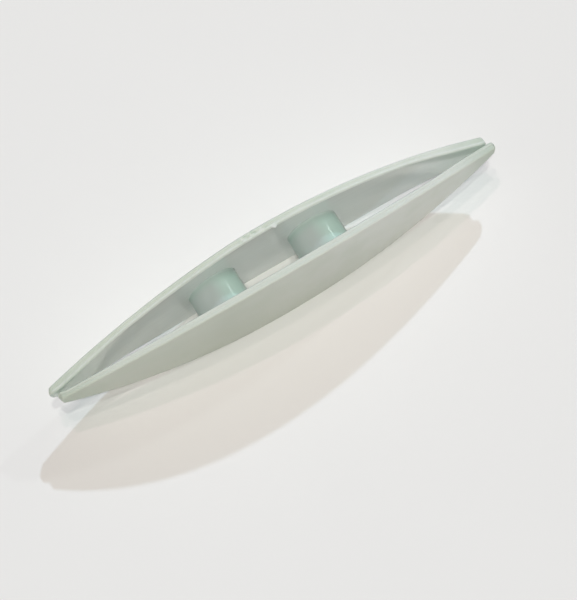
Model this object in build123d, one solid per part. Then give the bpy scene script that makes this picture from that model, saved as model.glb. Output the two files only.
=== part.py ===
from build123d import *
import os
from math import sqrt

# Tatting shuttle with two posts, in millimetres.
#
# Two thin boat-shaped blades bow outwards and close at both tips. Two round posts hold
# them apart. Thread is wound around both posts, and slips out between the tips.
#
# X runs along the shuttle, Y through both blades, and Z across their width. The shuttle
# stands on the long edges of its blades, and the origin is under its middle. The rear
# blade is on the +Y side. The front blade has the same shape, turned half round about Z.

# The whole shuttle
shuttle_length = 75.0  # over the tips of both blades
shuttle_width = 18.0  # across a blade at its middle, and the height of the shuttle as it stands
shuttle_thickness = 8.7  # over both blades at their middle
tip_thickness = 2.5  # over both blades at their tips
tip_stagger = 0.65  # how far each long tip reaches past the short tip beside it

# A blade
blade_wall = 1.25  # at the middle
tip_wall = 1.0
tip_width = 1.9  # where the two long edges end
nose_length = 0.25  # how far the rounded end of the long tip stands out
tip_corner_radius = 0.45
edge_radius = 0.35  # along every edge of a blade

# The lip inside each tip, which nearly closes the slit between the blades
lip_length = 0.6  # back from the end of the long edges
lip_ramp = 0.9  # length of the slope from the inner face down to the lip
tip_gap = 0.1  # between the lips of the two blades

# The posts
post_diameter = 8.0
post_spacing = 17.0  # between the two axes
post_offset = -0.6  # of the point between the posts from the shuttle's middle, along X
post_end_chamfer = 0.2
socket_depth = 0.5  # below the blade's inner face, on the post's axis
socket_clearance = 0.05  # around the post, filled by cement

# How far a cutting shape runs past what it cuts
overrun = 1.0

# Both long edges of a blade, and both of its faces, are arcs over the same span
half_span = (shuttle_length - tip_stagger - nose_length) / 2
blade_shift = (nose_length - tip_stagger) / 2
half_width = shuttle_width / 2
half_tip_width = tip_width / 2

# Distances from the middle plane between the blades
outer_middle = shuttle_thickness / 2
outer_tip = tip_thickness / 2
inner_middle = outer_middle - blade_wall
inner_tip = outer_tip - tip_wall
lip_face = tip_gap / 2


def bow_radius(middle, tip):
    """Radius of the arc that stands at middle over the centre and at tip over the ends."""
    rise = middle - tip
    return (half_span**2 + rise**2) / (2 * rise)


def bow(x, middle, tip):
    """Distance of that arc from the middle plane, at x from the centre."""
    radius = bow_radius(middle, tip)
    return middle - radius + sqrt(radius**2 - x**2)


# A post ends on the flat floors of its two sockets
left_post_x = post_offset - post_spacing / 2
right_post_x = post_offset + post_spacing / 2
post_radius = post_diameter / 2
socket_floor = bow(post_spacing / 2, inner_middle, inner_tip) + socket_depth


def blade_outline():
    """The blade seen from the side: a lens with one square tip and one rounded nose."""
    upper_edge = ThreePointArc((-half_span, half_tip_width), (0, half_width), (half_span, half_tip_width))
    lower_edge = ThreePointArc((-half_span, -half_tip_width), (0, -half_width), (half_span, -half_tip_width))
    square_end = Line((half_span, half_tip_width), (half_span, -half_tip_width))
    nose = ThreePointArc(
        (-half_span, half_tip_width),
        (-half_span - nose_length, 0),
        (-half_span, -half_tip_width),
    )
    outline = make_face(upper_edge + square_end + lower_edge + nose)
    return fillet(outline.vertices(), tip_corner_radius)


def blade_plan():
    """The blade seen from above: the strip between its bowed faces, with a lip at each end."""
    reach = half_span + nose_length + overrun
    lip_start = half_span - lip_length
    ramp_start = lip_start - lip_ramp
    outer_end = bow(reach, outer_middle, outer_tip)
    ramp_top = bow(ramp_start, inner_middle, inner_tip)
    drop = ramp_start / (bow_radius(inner_middle, inner_tip) - inner_middle + ramp_top)
    outer_face = ThreePointArc((-reach, outer_end), (0, outer_middle), (reach, outer_end))
    inner_face = ThreePointArc((-ramp_start, ramp_top), (0, inner_middle), (ramp_start, ramp_top))
    plan = outer_face + inner_face
    for side in (-1, 1):
        plan += Line((side * reach, outer_end), (side * reach, lip_face))
        plan += Line((side * reach, lip_face), (side * lip_start, lip_face))
        plan += Spline(
            (side * ramp_start, ramp_top),
            (side * lip_start, lip_face),
            tangents=((side, -drop), (side, 0)),
        )
    return make_face(plan)


def make_plain_blade():
    """The rear blade standing on its lower edge, before its sockets are cut."""
    outline = Plane.XZ * blade_outline()
    lens = extrude(outline, amount=shuttle_thickness + overrun, both=True)
    strip = extrude(blade_plan(), amount=half_width + overrun, both=True)
    blade = lens & strip
    long_edges = blade.edges().filter_by(lambda edge: edge.length > half_span)
    blade = fillet(long_edges, edge_radius)
    return Pos(blade_shift, 0, half_width) * blade


def post_space(x):
    """The round space that a post takes up, from one socket's floor to the other's."""
    space = Cylinder(post_radius + socket_clearance, 2 * socket_floor)
    return Pos(x, 0, half_width) * Rot(X=90) * space


def make_post(x):
    """A plain round post across the gap, its ends flat on the two socket floors."""
    post = Cylinder(post_radius, 2 * socket_floor)
    ends = post.faces().filter_by(GeomType.PLANE).edges()
    post = chamfer(ends, post_end_chamfer)
    return Pos(x, 0, half_width) * Rot(X=90) * post


plain_blade = make_plain_blade()
post_spaces = post_space(left_post_x) + post_space(right_post_x)
rear_blade = plain_blade - post_spaces
front_blade = Rot(Z=180) * plain_blade - post_spaces
left_post = make_post(left_post_x)
right_post = make_post(right_post_x)

os.makedirs("parts", exist_ok=True)
export_step(rear_blade, "parts/rear_blade.step")
export_step(front_blade, "parts/front_blade.step")
export_step(left_post, "parts/left_post.step")
export_step(right_post, "parts/right_post.step")
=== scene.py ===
"""Looks for the tatting shuttle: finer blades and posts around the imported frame, plastic
materials, a paper floor, lamps and the photo's camera."""

import math

import bmesh
import bpy
import numpy as np
from mathutils import Matrix, Vector


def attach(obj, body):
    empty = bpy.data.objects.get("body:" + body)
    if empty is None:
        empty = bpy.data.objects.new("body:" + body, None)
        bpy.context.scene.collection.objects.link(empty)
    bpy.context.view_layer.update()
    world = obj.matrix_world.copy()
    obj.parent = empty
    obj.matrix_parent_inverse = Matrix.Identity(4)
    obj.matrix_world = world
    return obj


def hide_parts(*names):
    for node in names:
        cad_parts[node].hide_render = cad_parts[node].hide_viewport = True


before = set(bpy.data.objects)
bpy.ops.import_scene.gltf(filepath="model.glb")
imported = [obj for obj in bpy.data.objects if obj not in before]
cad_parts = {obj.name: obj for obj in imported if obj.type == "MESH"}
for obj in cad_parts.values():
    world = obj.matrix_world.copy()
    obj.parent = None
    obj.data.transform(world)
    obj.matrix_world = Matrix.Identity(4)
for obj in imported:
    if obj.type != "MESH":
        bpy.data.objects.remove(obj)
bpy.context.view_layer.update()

MM = 0.001

# The part's own sizes, in millimetres, as in its source
SHUTTLE_LENGTH = 75.0
SHUTTLE_WIDTH = 18.0
SHUTTLE_THICKNESS = 8.7
TIP_THICKNESS = 2.5
TIP_STAGGER = 0.65
BLADE_WALL = 1.25
TIP_WALL = 1.0
TIP_WIDTH = 1.9
NOSE_LENGTH = 0.25
TIP_GAP = 0.1
POST_DIAMETER = 8.0
POST_SPACING = 17.0
POST_OFFSET = -0.6

# Looks only, in millimetres: how the real pieces differ from their plain shapes
TIP_TAPER = 0.5  # length over which each tip rounds off to its point
TIP_SHARE = 0.07  # of a tip's width that is left at its very end
WALL_KEPT = 0.15  # of a tip's wall that the rounding leaves alone
THINNED_INSIDE = 0.3  # of that thinning which is taken off the inner face
SQUARE_TIP_TRIM = 0.28  # how much further back the short tip ends
CLOSING_RAMP = 1.4  # length over which the gap narrows towards the tips
FILL_START = 23.0  # from the blade's middle to where its wall starts to thicken
FILL_LENGTH = 10.0  # over which it thickens
REAR_FILLS = (0.4, 0.4)  # how much it thickens at the nose and at the square tip
FRONT_FILLS = (0.3, 0.0)
REAR_BOW_LESS = 0.2  # how much less the rear blade stands out at its middle
REAR_LEAN = 0.25  # how much further in the rear blade stands on its left half
LEAN_LENGTH = 34.0  # from the nose to where that ends
INNER_EDGE_RADIUS = 0.3
OUTER_EDGE_RADIUS = 0.3
RIM_GROOVE = 0.09  # depth of the sink line along each long edge
SCAR_SPAN = (-5.0, 8.0)  # stretch of the rear blade's upper rim that is scarred, along x
POST_REACH = 0.02  # how far the posts' ends stand under the blades' skin
ROOT_LENGTH = 0.5  # how far a post is painted paler, as painted light, from where it meets the rear blade

# Slight wavers along a blade: wave lengths in millimetres, and how strong they are
FACE_WAVES, FACE_WAVER = (23.0, 11.0, 6.1), 0.02  # of the outer face, in millimetres
EDGE_WAVES, EDGE_WAVER = (9.0, 4.3, 2.2), 0.015  # of the long edges, in millimetres
GROOVE_WAVES, GROOVE_WAVER = (7.0, 3.1, 1.3, 0.7), 0.6  # of the sink line's depth, as a share
RIM_LIGHT_WAVES, RIM_LIGHT_WAVER = (13.0, 5.0, 1.9, 0.8), 0.5  # of the rim's painted highlight and painted shade lines, as a share
REAR_SEED, FRONT_SEED, SCAR_SEED = 3, 5, 11

# Painted lines along a rim, a painted highlight on the crest and a line of painted shade in the
# sink: their places as shares of the way across it, and their width
HIGHLIGHT_PLACE, SHADE_LINE_PLACE, LINE_WIDTH = 0.34, 0.58, 0.10
SHADE_LINE_DEPTH = 0.32  # how dark the painted shade line in the sink is beside the painted highlight on the crest

# Steps between a blade's cross-sections, in millimetres
PLAIN_STEP, TIP_STEP, SCAR_STEP = 0.18, 0.07, 0.05
TIP_ZONE = 3.0  # how far the finer step reaches from a tip
NOSE_ZONE_START, SQUARE_ZONE_START = 0.56, 0.54  # where it starts, just past the rounding
TAPER_SECTIONS = 16  # cross-sections in a tip's rounding

# Points on the parts of a blade's cross-section, and on a post
EDGE_POINTS, RIM_POINTS, FACE_POINTS = 10, 18, 30
POST_SIDES, POST_ROWS = 160, 40

HALF_SPAN = (SHUTTLE_LENGTH - TIP_STAGGER - NOSE_LENGTH) / 2
BLADE_SHIFT = (NOSE_LENGTH - TIP_STAGGER) / 2
HALF_WIDTH = SHUTTLE_WIDTH / 2
OUTER_MIDDLE = SHUTTLE_THICKNESS / 2
OUTER_TIP = TIP_THICKNESS / 2
INNER_MIDDLE = OUTER_MIDDLE - BLADE_WALL
INNER_TIP = OUTER_TIP - TIP_WALL
LIP_FACE = TIP_GAP / 2


def bow(x, middle, tip):
    """Height over the middle plane of the arc through middle at x = 0 and tip at the ends."""
    rise = middle - tip
    radius = (HALF_SPAN**2 + rise**2) / (2 * rise)
    return middle - radius + np.sqrt(radius**2 - x**2)


def smooth(share):
    """A share from 0 to 1, eased at both ends."""
    share = np.clip(share, 0, 1)
    return share * share * (3 - 2 * share)


def inner_face(x, low, high, less, fills):
    """Distance of a blade's inner face from the middle plane, which it nears at both tips."""
    closing = smooth(1 - np.minimum(x - low, high - x) / CLOSING_RAMP)
    face = bow(np.clip(x, -HALF_SPAN, HALF_SPAN), INNER_MIDDLE - less, INNER_TIP)
    for out, fill in zip((-x, x), fills):
        face = face - fill * smooth((out - FILL_START) / FILL_LENGTH)
    return np.maximum(face, LIP_FACE) * (1 - closing) + LIP_FACE * closing


def tip_round(from_end):
    """Share of the full width left near a tip, so that it ends in a rounded point."""
    near = 1 - min(from_end / TIP_TAPER, 1)
    return max((1 - near**1.7) ** (1 / 1.6), TIP_SHARE)


def stations(low, high, scarred):
    """Where a blade's cross-sections stand along x: closer together at tips and scars."""
    near = TIP_TAPER * np.linspace(0, 1, TAPER_SECTIONS) ** 2
    fine_left = np.arange(low + NOSE_ZONE_START, low + TIP_ZONE, TIP_STEP)
    fine_right = np.arange(high - TIP_ZONE, high - SQUARE_ZONE_START, TIP_STEP)
    left = np.concatenate([low + near, fine_left])
    right = np.concatenate([fine_right, high - near[::-1]])
    start, end = left[-1] + 0.1, right[0] - 0.1
    if scarred:
        middle = np.concatenate([
            np.arange(start, SCAR_SPAN[0], PLAIN_STEP),
            np.arange(SCAR_SPAN[0], SCAR_SPAN[1], SCAR_STEP),
            np.arange(SCAR_SPAN[1], end, PLAIN_STEP),
        ])
    else:
        middle = np.arange(start, end, PLAIN_STEP)
    return np.concatenate([left, middle, right])


def wobble(x, seed, lengths, size):
    """A smooth seeded waver along x, made of a few waves."""
    chance = np.random.default_rng(seed)
    total = 0.0
    for length in lengths:
        phase = chance.uniform(0, 2 * math.pi)
        total += math.sin(2 * math.pi * x / length + phase) * chance.uniform(0.6, 1.0)
    return size * total / len(lengths)


def ring(y_in, y_out, half, groove):
    """One cross-section: points (y, z), their outward directions, how much each faces the
    gap, and how far each lies from the inner face along the upper rim (below zero off it)."""
    points, outward, inward, along_rim = [], [], [], []
    wall = y_out - y_in
    r_in = min(INNER_EDGE_RADIUS, 0.4 * wall, 0.9 * half)
    r_out = min(OUTER_EDGE_RADIUS, 0.5 * wall, 0.9 * half)
    width = wall - r_in - r_out
    flat_start = r_in * math.pi / 2
    turn = [(q, math.cos(q), math.sin(q)) for q in np.linspace(0, np.pi / 2, EDGE_POINTS)]
    across = np.linspace(0, 1, RIM_POINTS)[1:-1]
    flat = [(s, groove * math.sin(math.pi * s) ** 2) for s in across]
    side = 0.5 - 0.5 * np.cos(np.linspace(0, np.pi, FACE_POINTS))[1:-1]

    def add(y, z, direction, face, place=-1.0):
        points.append((y, z))
        outward.append(direction)
        inward.append(face)
        along_rim.append(place)

    for q, c, d in turn:  # upper inner edge
        add(y_in + r_in * (1 - c), half - r_in * (1 - d), (-c, d), c, r_in * q)
    for s, sink in flat:  # upper rim
        add(y_in + r_in + s * width, half - sink, (0, 1), 0, flat_start + s * width)
    for q, c, d in turn:  # upper outer edge
        place = flat_start + width + r_out * q
        add(y_out - r_out * (1 - d), half - r_out * (1 - c), (d, c), 0, place)
    for s in side:  # outer face
        add(y_out, half - r_out - s * 2 * (half - r_out), (1, 0), 0)
    for q, c, d in turn:  # lower outer edge
        add(y_out - r_out * (1 - c), -half + r_out * (1 - d), (c, -d), 0)
    for s, sink in flat:  # lower rim
        add(y_out - r_out - s * width, -half + sink, (0, -1), 0)
    for q, c, d in turn:  # lower inner edge
        add(y_in + r_in * (1 - d), -half + r_in * (1 - c), (-d, -c), d)
    for s in side:  # inner face
        add(y_in, -half + r_in + s * 2 * (half - r_in), (-1, 0), 1)
    return points, outward, inward, along_rim


# Scars on the upper rim of the rear blade, in millimetres: place along x, place across the
# rim from its inner face, length, width, height (below zero for a dent) and paleness (below
# zero for a darker one)
SINGLE_SCARS = [
    (2.0, 0.18, 0.36, 0.26, 0.34, 1.5),  # the pale burr on the inner edge
    (1.7, 0.42, 0.22, 0.16, 0.10, 0.8),  # its root on the rim
    (6.5, 0.75, 0.42, 0.07, 0.05, 1.2),  # a short scratch, its raised line painted pale as a highlight
    (4.4, 0.5, 0.6, 0.12, -0.04, -0.5),  # a shallow dent
]

# The mottled patch to their left: how many scars, and between what values each is drawn
MOTTLES = 34
MOTTLE_ALONG, MOTTLE_ACROSS = (-3.7, 0.9), (0.25, 1.25)
MOTTLE_LENGTH, MOTTLE_WIDTH = (0.15, 0.42), (0.10, 0.22)
MOTTLE_HEIGHT, MOTTLE_PALENESS = (0.04, 0.10), (0.4, 1.3)


def scars():
    """All scars on the rim: the mottled patch, then the single ones."""
    chance = np.random.default_rng(SCAR_SEED)
    marks = []
    for _ in range(MOTTLES):
        marks.append((
            chance.uniform(*MOTTLE_ALONG),
            chance.uniform(*MOTTLE_ACROSS),
            chance.uniform(*MOTTLE_LENGTH),
            chance.uniform(*MOTTLE_WIDTH),
            chance.choice((-1, 1)) * chance.uniform(*MOTTLE_HEIGHT),
            chance.choice((-1, 1)) * chance.uniform(*MOTTLE_PALENESS),
        ))
    return marks + SINGLE_SCARS


def scar_effect(x, place, marks):
    """How far the scars push out a point of the rim, and how much paler they make it."""
    push = tone = 0.0
    for mark_x, mark_place, length, width, height, paler in marks:
        far = ((x - mark_x) / length) ** 2 + ((place - mark_place) / width) ** 2
        if far < 9:
            near = math.exp(-far)
            push += height * near
            tone += paler * near
    return push, tone


def rim_light_lines(across):
    """Paleness of the rim there, as painted light: a painted highlight along the crest and a line
    of painted shade along the sink.
    """
    crest = math.exp(-(((across - HIGHLIGHT_PLACE) / LINE_WIDTH) ** 2))
    sink = math.exp(-(((across - SHADE_LINE_PLACE) / LINE_WIDTH) ** 2))
    return crest - SHADE_LINE_DEPTH * sink


def tube(name, rows):
    """A closed mesh through rows of points in millimetres, its ends filled by fans, and all
    its points in metres. The fans' two middle points come last."""
    count, size = rows.shape[:2]
    points = [tuple(point) for point in rows.reshape(-1, 3) * MM]
    faces = []
    for i in range(count - 1):
        for j in range(size):
            k = (j + 1) % size
            faces.append((i * size + j, i * size + k, (i + 1) * size + k, (i + 1) * size + j))
    for row, backwards in ((0, True), (count - 1, False)):
        points.append(tuple(rows[row].mean(0) * MM))
        hub = len(points) - 1
        for j in range(size):
            a, b = row * size + j, row * size + (j + 1) % size
            faces.append((hub, b, a) if backwards else (hub, a, b))
    mesh = bpy.data.meshes.new(name)
    mesh.from_pydata(points, [], faces)
    mesh.validate()
    return mesh, np.array(points)


def finish_piece(name, mesh, values):
    """Keeps the named values on the mesh's points, turns its normals outwards, smooths its
    shading and puts it in the scene."""
    for key, value in values.items():
        value = np.asarray(value).astype(np.float32)
        mesh.attributes.new(key, "FLOAT", "POINT").data.foreach_set("value", value)
    work = bmesh.new()
    work.from_mesh(mesh)
    bmesh.ops.recalc_face_normals(work, faces=work.faces)
    work.to_mesh(mesh)
    work.free()
    mesh.polygons.foreach_set("use_smooth", [True] * len(mesh.polygons))
    piece = bpy.data.objects.new(name, mesh)
    bpy.context.scene.collection.objects.link(piece)
    return piece


def blade_mesh(name, turned, less, fills, lean, marks):
    """A blade as one closed mesh in the row frame. Its points keep how much they face the
    gap ("inward"), how pale they are from scars and from the rims' painted highlight and
    shade lines ("pale") and how much they face outwards ("face")."""
    low, high = -HALF_SPAN - NOSE_LENGTH, HALF_SPAN - SQUARE_TIP_TRIM
    seed = FRONT_SEED if turned else REAR_SEED
    rows, inward, pale, outer = [], [], [], []
    for x in stations(low, high, bool(marks)):
        on_span = np.clip(x, -HALF_SPAN, HALF_SPAN)
        share = tip_round(min(x - low, high - x))
        y_in = float(inner_face(x, low, high, less, fills))
        y_out = float(bow(on_span, OUTER_MIDDLE - less, OUTER_TIP))
        y_out += wobble(x, seed, FACE_WAVES, FACE_WAVER) - FACE_WAVER
        lean_here = lean * math.sin(math.pi * min((x - low) / LEAN_LENGTH, 1))
        y_out, y_in = y_out - lean_here, max(y_in - lean_here, LIP_FACE)
        wall = (y_out - y_in) * (WALL_KEPT + (1 - WALL_KEPT) * share)
        y_in += THINNED_INSIDE * (y_out - y_in - wall)
        half = float(bow(on_span, HALF_WIDTH, TIP_WIDTH / 2)) * share
        half += (wobble(x, seed + 1, EDGE_WAVES, EDGE_WAVER) - EDGE_WAVER) * share
        groove = RIM_GROOVE * (1 + wobble(x, seed + 2, GROOVE_WAVES, GROOVE_WAVER)) * share**2
        # how strongly the rims' painted highlight and shade lines show here
        vary = 1 + wobble(x, seed + 3, RIM_LIGHT_WAVES, RIM_LIGHT_WAVER)
        rim_length = wall + (math.pi / 2 - 1) * (INNER_EDGE_RADIUS + OUTER_EDGE_RADIUS)
        points, outward, face, along_rim = ring(y_in, y_in + wall, half, groove)
        row, paleness = [], []
        for (y, z), (out_y, out_z), place in zip(points, outward, along_rim):
            push = tone = 0.0
            if place >= 0:
                # the rim's painted highlight and painted shade lines
                tone = rim_light_lines(place / rim_length) * vary
                if SCAR_SPAN[0] < x < SCAR_SPAN[1]:
                    push, scar_tone = scar_effect(x, place, marks)
                    tone += scar_tone
            row.append((x, y + push * out_y, min(z + push * out_z, HALF_WIDTH)))
            paleness.append(max(-1.0, min(tone, 1.5)))
        rows.append(row)
        inward.append(face)
        pale.append(paleness)
        outer.append([max(out_y, 0.0) for out_y, out_z in outward])
    rows = np.array(rows)
    rows[..., 0] += BLADE_SHIFT
    rows[..., 2] += HALF_WIDTH
    if turned:
        rows[..., :2] *= -1
    mesh, _ = tube(name, rows)
    values = {"inward": inward, "pale": pale, "face": outer}
    for key, value in values.items():  # the two zeros are for the middles of the end fans
        values[key] = np.append(np.array(value).ravel(), [0.0, 0.0])
    return finish_piece(name, mesh, values)


def post_mesh(name, x):
    """A round post across the gap, its ends just under the skin of both blades. Its points
    keep how far left or right they lie ("side") and how near the rear blade ("root")."""
    radius = POST_DIAMETER / 2
    near, far = abs(x) - radius, abs(x) + radius
    rear_middle = INNER_MIDDLE - REAR_BOW_LESS
    rear = bow(far, rear_middle, INNER_TIP)
    front = -bow(far, INNER_MIDDLE, INNER_TIP)
    places = [bow(near, rear_middle, INNER_TIP) + POST_REACH]
    places += list(np.linspace(rear, front, POST_ROWS))
    places += [-bow(near, INNER_MIDDLE, INNER_TIP) - POST_REACH]
    turns = [2 * math.pi * k / POST_SIDES for k in range(POST_SIDES)]
    circle = [(x + radius * math.cos(q), HALF_WIDTH + radius * math.sin(q)) for q in turns]
    mesh, points = tube(name, np.array([[(at_x, y, z) for at_x, z in circle] for y in places]))
    at_x, at_y = points.T[:2] / MM
    gap = np.abs(bow(at_x, rear_middle, INNER_TIP) - at_y)
    values = {"side": (at_x - x) / radius, "root": np.clip(1 - gap / ROOT_LENGTH, 0, 1)}
    return finish_piece(name, mesh, values)


class Tree:
    """Short ways to add and join the shader nodes of one material."""

    def __init__(self, material):
        material.use_nodes = True
        self.tree = material.node_tree
        self.tree.nodes.clear()

    def put(self, node, key, value):
        """Links another node's output to the input, or sets the input to a plain value."""
        socket = node.inputs[key]
        if isinstance(value, bpy.types.NodeSocket):
            self.tree.links.new(value, socket)
        else:
            socket.default_value = value

    def node(self, kind, **inputs):
        made = self.tree.nodes.new(kind)
        for key, value in inputs.items():
            self.put(made, key.replace("_", " "), value)
        return made

    def place(self):
        """Where a point lies on its piece, in metres."""
        return self.node("ShaderNodeTexCoord").outputs["Object"]

    def split(self, vector):
        return self.node("ShaderNodeSeparateXYZ", Vector=vector).outputs

    def value(self, key):
        """A value kept on the mesh's points."""
        made = self.node("ShaderNodeAttribute")
        made.attribute_name = key
        return made.outputs["Fac"]

    def noise(self, where, scale, detail=3.0, roughness=0.55):
        inputs = {"Vector": where, "Scale": scale, "Detail": detail, "Roughness": roughness}
        return self.node("ShaderNodeTexNoise", **inputs).outputs["Fac"]

    def stretch(self, where, scale):
        return self.node("ShaderNodeMapping", Vector=where, Scale=scale).outputs["Vector"]

    def levels(self, value, low, high, to_low=0.0, to_high=1.0):
        """Turns low to high into to_low to to_high, eased at both ends."""
        made = self.node("ShaderNodeMapRange", Value=value)
        made.interpolation_type = "SMOOTHSTEP"
        ends = {"From Min": low, "From Max": high, "To Min": to_low, "To Max": to_high}
        for key, number in ends.items():
            self.put(made, key, number)
        return made.outputs["Result"]

    def maths(self, kind, a, b):
        made = self.node("ShaderNodeMath")
        made.operation = kind
        self.put(made, 0, a)
        self.put(made, 1, b)
        return made.outputs[0]

    def times(self, a, b):
        return self.maths("MULTIPLY", a, b)

    def mix(self, share, a, b):
        """A colour between a and b."""
        made = self.node("ShaderNodeMix")
        made.data_type = "RGBA"
        for key, value in ((0, share), (6, a), (7, b)):
            self.put(made, key, value)
        return made.outputs[2]

    def blend(self, share, a, b):
        """A number between a and b."""
        made = self.node("ShaderNodeMix")
        made.data_type = "FLOAT"
        for key, value in ((0, share), (2, a), (3, b)):
            self.put(made, key, value)
        return made.outputs[0]

    def join(self, share, shader_a, shader_b):
        """A shader between the two."""
        made = self.node("ShaderNodeMixShader", Fac=share)
        self.tree.links.new(shader_a.outputs[0], made.inputs[1])
        self.tree.links.new(shader_b.outputs[0], made.inputs[2])
        return made

    def bump(self, height, distance, strength=1.0, normal=None):
        made = self.node("ShaderNodeBump", Strength=strength, Distance=distance, Height=height)
        if normal is not None:
            self.put(made, "Normal", normal)
        return made.outputs["Normal"]

    def let_through(self, shader, share, colour):
        """The shader, mixed with light that passes through the wall."""
        return self.join(share, shader, self.node("ShaderNodeBsdfTranslucent", Color=colour))

    def polish(self, shader, share, normal):
        """The shader under a polish, which mirrors more the more slantwise it is seen."""
        slant = self.node("ShaderNodeFresnel", IOR=PLASTIC_IOR, Normal=normal).outputs[0]
        mirror = self.node("ShaderNodeBsdfGlossy", Color=WHITE, Normal=normal)
        self.put(mirror, "Roughness", POLISH_ROUGHNESS)
        return self.join(self.times(slant, share), shader, mirror)

    def end(self, shader):
        out = self.node("ShaderNodeOutputMaterial")
        self.tree.links.new(shader.outputs[0], out.inputs["Surface"])


def rgb(red, green, blue):
    """An opaque colour, from its linear parts."""
    return (red, green, blue, 1.0)


WHITE = rgb(1.0, 1.0, 1.0)

# Colours of the blades
BLADE_GREEN = rgb(0.745, 0.81, 0.69)
BLADE_PALE = rgb(0.81, 0.86, 0.755)
# painted light on the rims towards the right
BLADE_RIM_LIT = rgb(0.95, 0.96, 0.92)
BLADE_TIP = rgb(0.69, 0.765, 0.66)
FACE_LEFT = rgb(0.785, 0.83, 0.74)
# outer faces painted paler towards the right, as painted light
FACE_LIT_RIGHT = rgb(0.96, 0.99, 0.94)
# Inner faces: painted near white as painted light between the blades, with painted shade towards
# the right end and, darker, in the narrow gap near the tips
BLADE_INNER_LIT = rgb(0.99, 0.985, 0.985)
BLADE_INNER_SHADED_END = rgb(0.72, 0.72, 0.70)
BLADE_INNER_TIP_SHADE = rgb(0.43, 0.56, 0.50)
# Pale and dark marks: the scars' tones, the rims' painted highlight and painted shade lines, and
# the front rim's painted light
PALE_MARK_AND_HIGHLIGHT = rgb(0.93, 0.97, 0.91)
DARK_MARK_AND_SHADE = rgb(0.62, 0.72, 0.60)
BLADE_GLOW = rgb(0.965, 0.99, 0.94)  # of light that comes through

# Colours of the posts
POST_GREEN = rgb(0.62, 0.83, 0.75)
POST_PALE = rgb(0.66, 0.86, 0.79)
# painted shade on the posts' left side
POST_SHADED_LEFT = rgb(0.59, 0.63, 0.625)
# painted shadow of the rear blade on the posts
POST_SHADOWED_END = rgb(0.52, 0.62, 0.58)
# painted light on the posts, at the rear blade's joint and along the right edge
POST_LIT = rgb(0.92, 0.95, 0.94)
POST_GLOW = rgb(0.84, 0.95, 0.90)  # of light that comes through

# Colours of the floor
PAPER = rgb(0.80, 0.795, 0.78)
PAPER_PALE = rgb(0.815, 0.81, 0.795)

# Share of the light that comes through
RIM_THROUGH = 0.38
INNER_THROUGH_MORE = 0.13
FRONT_FACE_THROUGH_LESS = 0.24
REAR_FACE_THROUGH_MORE = 0.12
POST_THROUGH = 0.45

# Gloss. The three pairs are roughness, from and to
PLASTIC_IOR = 1.5
OUTER_ROUGHNESS = (0.40, 0.50)
INNER_ROUGHNESS = (0.03, 0.06)
POST_ROUGHNESS = (0.13, 0.19)
INNER_POLISH = 0.85  # share of a full polish on the inner faces
POLISH_ROUGHNESS = 0.05
INNER_SMOOTHNESS = 0.9  # share of the fine bumps missing on the inner faces

# Noise scales, per metre, the same all round or along x, y and z
BLADE_CLOUDS = 160.0
BLADE_STREAKS = (60.0, 900.0, 900.0)
BLADE_LINES = (260.0, 5200.0, 2600.0)
BLADE_GRAIN = 5200.0
POST_CLOUDS = 300.0
POST_RINGS = (150.0, 1500.0, 150.0)
FLOOR_CLOUDS = 40.0

# Heights of bumps, in metres
STREAK_HEIGHT, LINE_HEIGHT, GRAIN_HEIGHT = 0.00003, 0.00002, 0.000012
RING_HEIGHT = 0.00003

# Noise values that count as its lowest and highest
CLOUD_RANGE = (0.35, 0.65)
STREAK_RANGE = (0.3, 0.7)

# Where tints turn into each other, in metres from the shuttle's middle
BETWEEN = (0.0005, -0.0005)  # along y, from the rear blade's look to the front one's
RIM_LIGHTENING = (0.0, 0.032)  # along x: where the rims' painted light grows towards the right
FACE_LIGHTENING = (-0.012, 0.020)  # along x: where the outer faces' painted light grows towards the right
LINING_SHADING = (0.012, 0.034)  # along x, on the inner faces: painted shade towards the right end
OUTER_TIPS = (0.028, 0.0375)  # along x to either side
LINING_TIP_SHADE = (0.025, 0.036)  # along x to either side, on the inner faces: painted shade in the narrowing gap at the tips
POST_SHADOW_SPAN = (0.0012, 0.0026)  # along y: the painted shadow of the rear blade on the posts

# How much of a tint shows where it is strongest
# painted light on the front rim, paler than the rear one
FRONT_RIM_LIGHT = 0.65
RIM_LIGHT_SHARE = 0.5
FACE_CLOUDED = 0.3
ROOT_LIGHT = 0.55
RIGHT_EDGE_LIGHT = 0.9


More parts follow.
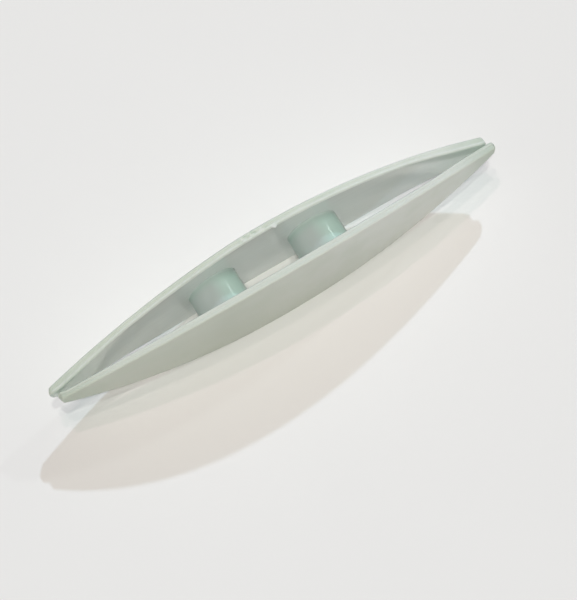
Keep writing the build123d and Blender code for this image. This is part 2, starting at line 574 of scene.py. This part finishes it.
def blade_colour(t, x, y, cloudy, on_face, inner):
    """Clouded green, with painted light making it paler to the right and on the front rim,
    darker at the tips, with the scars and the rims' painted highlight and shade lines, and
    the inner faces painted near white, with painted shade towards the right end and the tips."""
    from_middle = t.maths("ABSOLUTE", x, 0.0)
    rim = t.mix(cloudy, BLADE_GREEN, BLADE_PALE)
    # the front blade's rim painted paler, as painted light
    rim = t.mix(t.levels(y, *BETWEEN, 0.0, FRONT_RIM_LIGHT), rim, PALE_MARK_AND_HIGHLIGHT)
    # rims painted paler to the right, as painted light
    rim = t.mix(t.levels(x, *RIM_LIGHTENING, 0.0, RIM_LIGHT_SHARE), rim, BLADE_RIM_LIT)
    # outer faces painted paler to the right, as painted light
    face = t.mix(t.levels(x, *FACE_LIGHTENING), FACE_LEFT, FACE_LIT_RIGHT)
    face = t.mix(t.times(cloudy, FACE_CLOUDED), face, BLADE_GREEN)
    outer = t.mix(on_face, rim, face)
    outer = t.mix(t.levels(from_middle, *OUTER_TIPS), outer, BLADE_TIP)
    # scars, and the rims' painted highlight and painted shade lines
    mark = t.value("pale")
    outer = t.mix(t.levels(mark, 0.2, 1.3), outer, PALE_MARK_AND_HIGHLIGHT)
    outer = t.mix(t.levels(mark, -0.1, -0.9), outer, DARK_MARK_AND_SHADE)
    # inner faces: painted light, with painted shade towards the right end and at the tips
    lining = t.mix(t.levels(x, *LINING_SHADING), BLADE_INNER_LIT, BLADE_INNER_SHADED_END)
    lining = t.mix(t.levels(from_middle, *LINING_TIP_SHADE), lining, BLADE_INNER_TIP_SHADE)
    return t.mix(inner, outer, lining)


def blade_material():
    """Pale grey-green plastic: satin outside and on the rims, polished between the blades."""
    material = bpy.data.materials.new("blade_plastic")
    t = Tree(material)
    place = t.place()
    x, y, _ = t.split(place)
    inner = t.levels(t.value("inward"), 0.5, 0.95)
    on_face = t.levels(t.value("face"), 0.3, 1.0)
    cloudy = t.levels(t.noise(place, BLADE_CLOUDS, 4.0), *CLOUD_RANGE)
    streaks = t.noise(t.stretch(place, BLADE_STREAKS), 1.0)
    lines = t.noise(t.stretch(place, BLADE_LINES), 1.0, 4.0, 0.6)
    grain = t.noise(place, BLADE_GRAIN, 2.0)

    fine = t.maths("SUBTRACT", 1.0, t.times(inner, INNER_SMOOTHNESS))
    normal = t.bump(streaks, STREAK_HEIGHT, 0.5)
    normal = t.bump(t.times(lines, fine), LINE_HEIGHT, 0.8, normal)
    normal = t.bump(t.times(grain, fine), GRAIN_HEIGHT, 0.6, normal)

    rough_outer = t.levels(cloudy, 0.0, 1.0, *OUTER_ROUGHNESS)
    rough_inner = t.levels(streaks, *STREAK_RANGE, *INNER_ROUGHNESS)
    through = t.maths("ADD", RIM_THROUGH, t.times(inner, INNER_THROUGH_MORE))
    face_less = t.levels(y, *BETWEEN, -REAR_FACE_THROUGH_MORE, FRONT_FACE_THROUGH_LESS)
    through = t.maths("SUBTRACT", through, t.times(on_face, face_less))

    shader = t.node("ShaderNodeBsdfPrincipled", IOR=PLASTIC_IOR, Normal=normal)
    t.put(shader, "Base Color", blade_colour(t, x, y, cloudy, on_face, inner))
    t.put(shader, "Roughness", t.blend(inner, rough_outer, rough_inner))
    shader = t.let_through(shader, through, BLADE_GLOW)
    t.end(t.polish(shader, t.times(inner, INNER_POLISH), normal))
    return material


def post_material():
    """Glossy green plastic with faint rings: painted shade on the left, a painted shadow
    towards the rear blade, and painted light just where it meets that blade and along the
    right edge."""
    material = bpy.data.materials.new("post_plastic")
    t = Tree(material)
    place = t.place()
    side = t.value("side")
    cloudy = t.levels(t.noise(place, POST_CLOUDS, 4.0), *CLOUD_RANGE)
    rings = t.noise(t.stretch(place, POST_RINGS), 1.0)
    colour = t.mix(cloudy, POST_GREEN, POST_PALE)
    # painted shade on the left side of the post
    colour = t.mix(t.levels(side, 0.35, -0.35), colour, POST_SHADED_LEFT)
    # painted shadow of the rear blade's rim on the post
    colour = t.mix(t.levels(t.split(place)[1], *POST_SHADOW_SPAN), colour, POST_SHADOWED_END)
    # painted light where the post meets the rear blade and along its right edge
    colour = t.mix(t.levels(t.value("root"), 0.0, 1.0, 0.0, ROOT_LIGHT), colour, POST_LIT)
    colour = t.mix(t.levels(side, 0.78, 1.0, 0.0, RIGHT_EDGE_LIGHT), colour, POST_LIT)
    shader = t.node("ShaderNodeBsdfPrincipled", IOR=PLASTIC_IOR)
    t.put(shader, "Base Color", colour)
    t.put(shader, "Roughness", t.levels(rings, *STREAK_RANGE, *POST_ROUGHNESS))
    t.put(shader, "Normal", t.bump(rings, RING_HEIGHT, 0.5))
    t.end(t.let_through(shader, POST_THROUGH, POST_GLOW))
    return material


def floor_material():
    """Matt white paper with very slight clouds."""
    material = bpy.data.materials.new("floor_paper")
    t = Tree(material)
    tone = t.noise(t.place(), FLOOR_CLOUDS)
    shader = t.node("ShaderNodeBsdfPrincipled", Roughness=0.9, Specular_IOR_Level=0.1)
    t.put(shader, "Base Color", t.mix(tone, PAPER, PAPER_PALE))
    t.end(shader)
    return material


# The pieces
rear = blade_mesh("rear_blade_skin", False, REAR_BOW_LESS, REAR_FILLS, REAR_LEAN, scars())
front = blade_mesh("front_blade_skin", True, 0.0, FRONT_FILLS, 0.0, [])
left = post_mesh("left_post_skin", POST_OFFSET - POST_SPACING / 2)
right = post_mesh("right_post_skin", POST_OFFSET + POST_SPACING / 2)
blade_plastic = blade_material()
post_plastic = post_material()
for piece, node, slot, material in (
    (rear, "rear_blade", "blade_plastic", blade_plastic),
    (front, "front_blade", "blade_plastic", blade_plastic),
    (left, "left_post", "post_plastic", post_plastic),
    (right, "right_post", "post_plastic", post_plastic),
):
    piece.data.materials.append(material)
    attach(piece, "root")
    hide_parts(node)


# The stage
FLOOR_HALF = 1.5  # half a side of the square floor, in metres
AMBIENT = 0.05  # strength of the light from all round
AMBIENT_COLOUR = rgb(0.98, 1.0, 0.95)
BACKDROP = rgb(0.80, 0.80, 0.785)  # seen by the camera only

# Lamps: name, direction they shine from, strength, colour, angle in degrees, whether glossy
# faces mirror them. Directions and colours were matched to the photo's shadows and tints.
LAMPS = (
    ("window", (0.71, 0.81, 1.0), 1.25, (0.54, 0.68, 0.84), 1.6, True),
    ("ceiling_back", (-0.01, 0.256, 1.0), 0.27, (1.0, 0.69, 0.76), 1.2, False),
    ("ceiling_middle", (-0.05, 0.09, 1.0), 0.25, (1.0, 0.85, 0.82), 1.2, False),
    ("ceiling_front", (-0.02, -0.09, 1.0), 0.48, (0.98, 1.0, 0.95), 1.6, True),
    ("ceiling_glow", (-0.16, -0.265, 1.0), 1.48, (1.0, 0.984, 0.916), 6.0, False),
    ("far_window", (0.73, 0.24, 0.63), 0.17, (0.9, 1.0, 1.0), 2.0, True),
)

# The camera, fitted to the photo, with its distance trimmed a little: angles in degrees,
# lengths in metres
CAMERA_AZIMUTH = -30.92
CAMERA_ELEVATION = 71.96
CAMERA_ROLL = -0.503
CAMERA_DISTANCE = 0.4447
CAMERA_TARGET = (0.000695, -0.002618, 0.0)
FOCAL_PIXELS = 3007.1
PHOTO_PIXELS = 600  # on the photo's longer side
SENSOR_WIDTH = 36.0  # in millimetres


def make_floor():
    """A square of paper under the shuttle."""
    h = FLOOR_HALF
    mesh = bpy.data.meshes.new("floor")
    mesh.from_pydata([(-h, -h, 0), (h, -h, 0), (h, h, 0), (-h, h, 0)], [], [(0, 1, 2, 3)])
    mesh.materials.append(floor_material())
    floor = bpy.data.objects.new("floor", mesh)
    bpy.context.scene.collection.objects.link(floor)


def make_world():
    """Faint light from all round, behind a pale backdrop that only the camera sees."""
    world = bpy.data.worlds.new("studio")
    bpy.context.scene.world = world
    world.use_nodes = True
    tree = world.node_tree
    tree.nodes.clear()
    mix = tree.nodes.new("ShaderNodeMixShader")
    for socket, colour, strength in ((1, AMBIENT_COLOUR, AMBIENT), (2, BACKDROP, 1.0)):
        light = tree.nodes.new("ShaderNodeBackground")
        light.inputs["Color"].default_value = colour
        light.inputs["Strength"].default_value = strength
        tree.links.new(light.outputs[0], mix.inputs[socket])
    path = tree.nodes.new("ShaderNodeLightPath")
    out = tree.nodes.new("ShaderNodeOutputWorld")
    tree.links.new(path.outputs["Is Camera Ray"], mix.inputs[0])
    tree.links.new(mix.outputs[0], out.inputs["Surface"])


def make_lamp(name, towards, strength, colour, angle, glossy):
    """A sun lamp that shines from the direction given by towards."""
    lamp = bpy.data.lights.new(name, "SUN")
    lamp.energy = strength
    lamp.color = colour
    lamp.angle = math.radians(angle)
    holder = bpy.data.objects.new(name, lamp)
    holder.rotation_mode = "QUATERNION"
    holder.rotation_quaternion = Vector(towards).to_track_quat("Z", "Y")
    holder.visible_glossy = glossy
    bpy.context.scene.collection.objects.link(holder)


def make_camera():
    """The camera: turned, tilted and rolled round its target, and the distance away from it."""
    azimuth, elevation, roll = map(math.radians, (CAMERA_AZIMUTH, CAMERA_ELEVATION, CAMERA_ROLL))
    level = math.cos(elevation)
    back = Vector((math.sin(azimuth) * level, -math.cos(azimuth) * level, math.sin(elevation)))
    side = Vector((math.cos(azimuth), math.sin(azimuth), 0))
    up = back.cross(side)
    turned_side = side * math.cos(roll) + up * math.sin(roll)
    turned_up = up * math.cos(roll) - side * math.sin(roll)
    lens = bpy.data.cameras.new("camera")
    lens.sensor_width = SENSOR_WIDTH
    lens.lens = FOCAL_PIXELS / PHOTO_PIXELS * lens.sensor_width
    lens.clip_start, lens.clip_end = 0.01, 10.0
    holder = bpy.data.objects.new("camera", lens)
    turn = Matrix((turned_side, turned_up, back)).transposed()
    place = Matrix.Translation(Vector(CAMERA_TARGET) + back * CAMERA_DISTANCE)
    holder.matrix_world = place @ turn.to_4x4()
    bpy.context.scene.collection.objects.link(holder)
    bpy.context.scene.camera = holder


make_floor()
make_world()
for lamp in LAMPS:
    make_lamp(*lamp)
make_camera()
bpy.context.scene.view_settings.view_transform = "Standard"
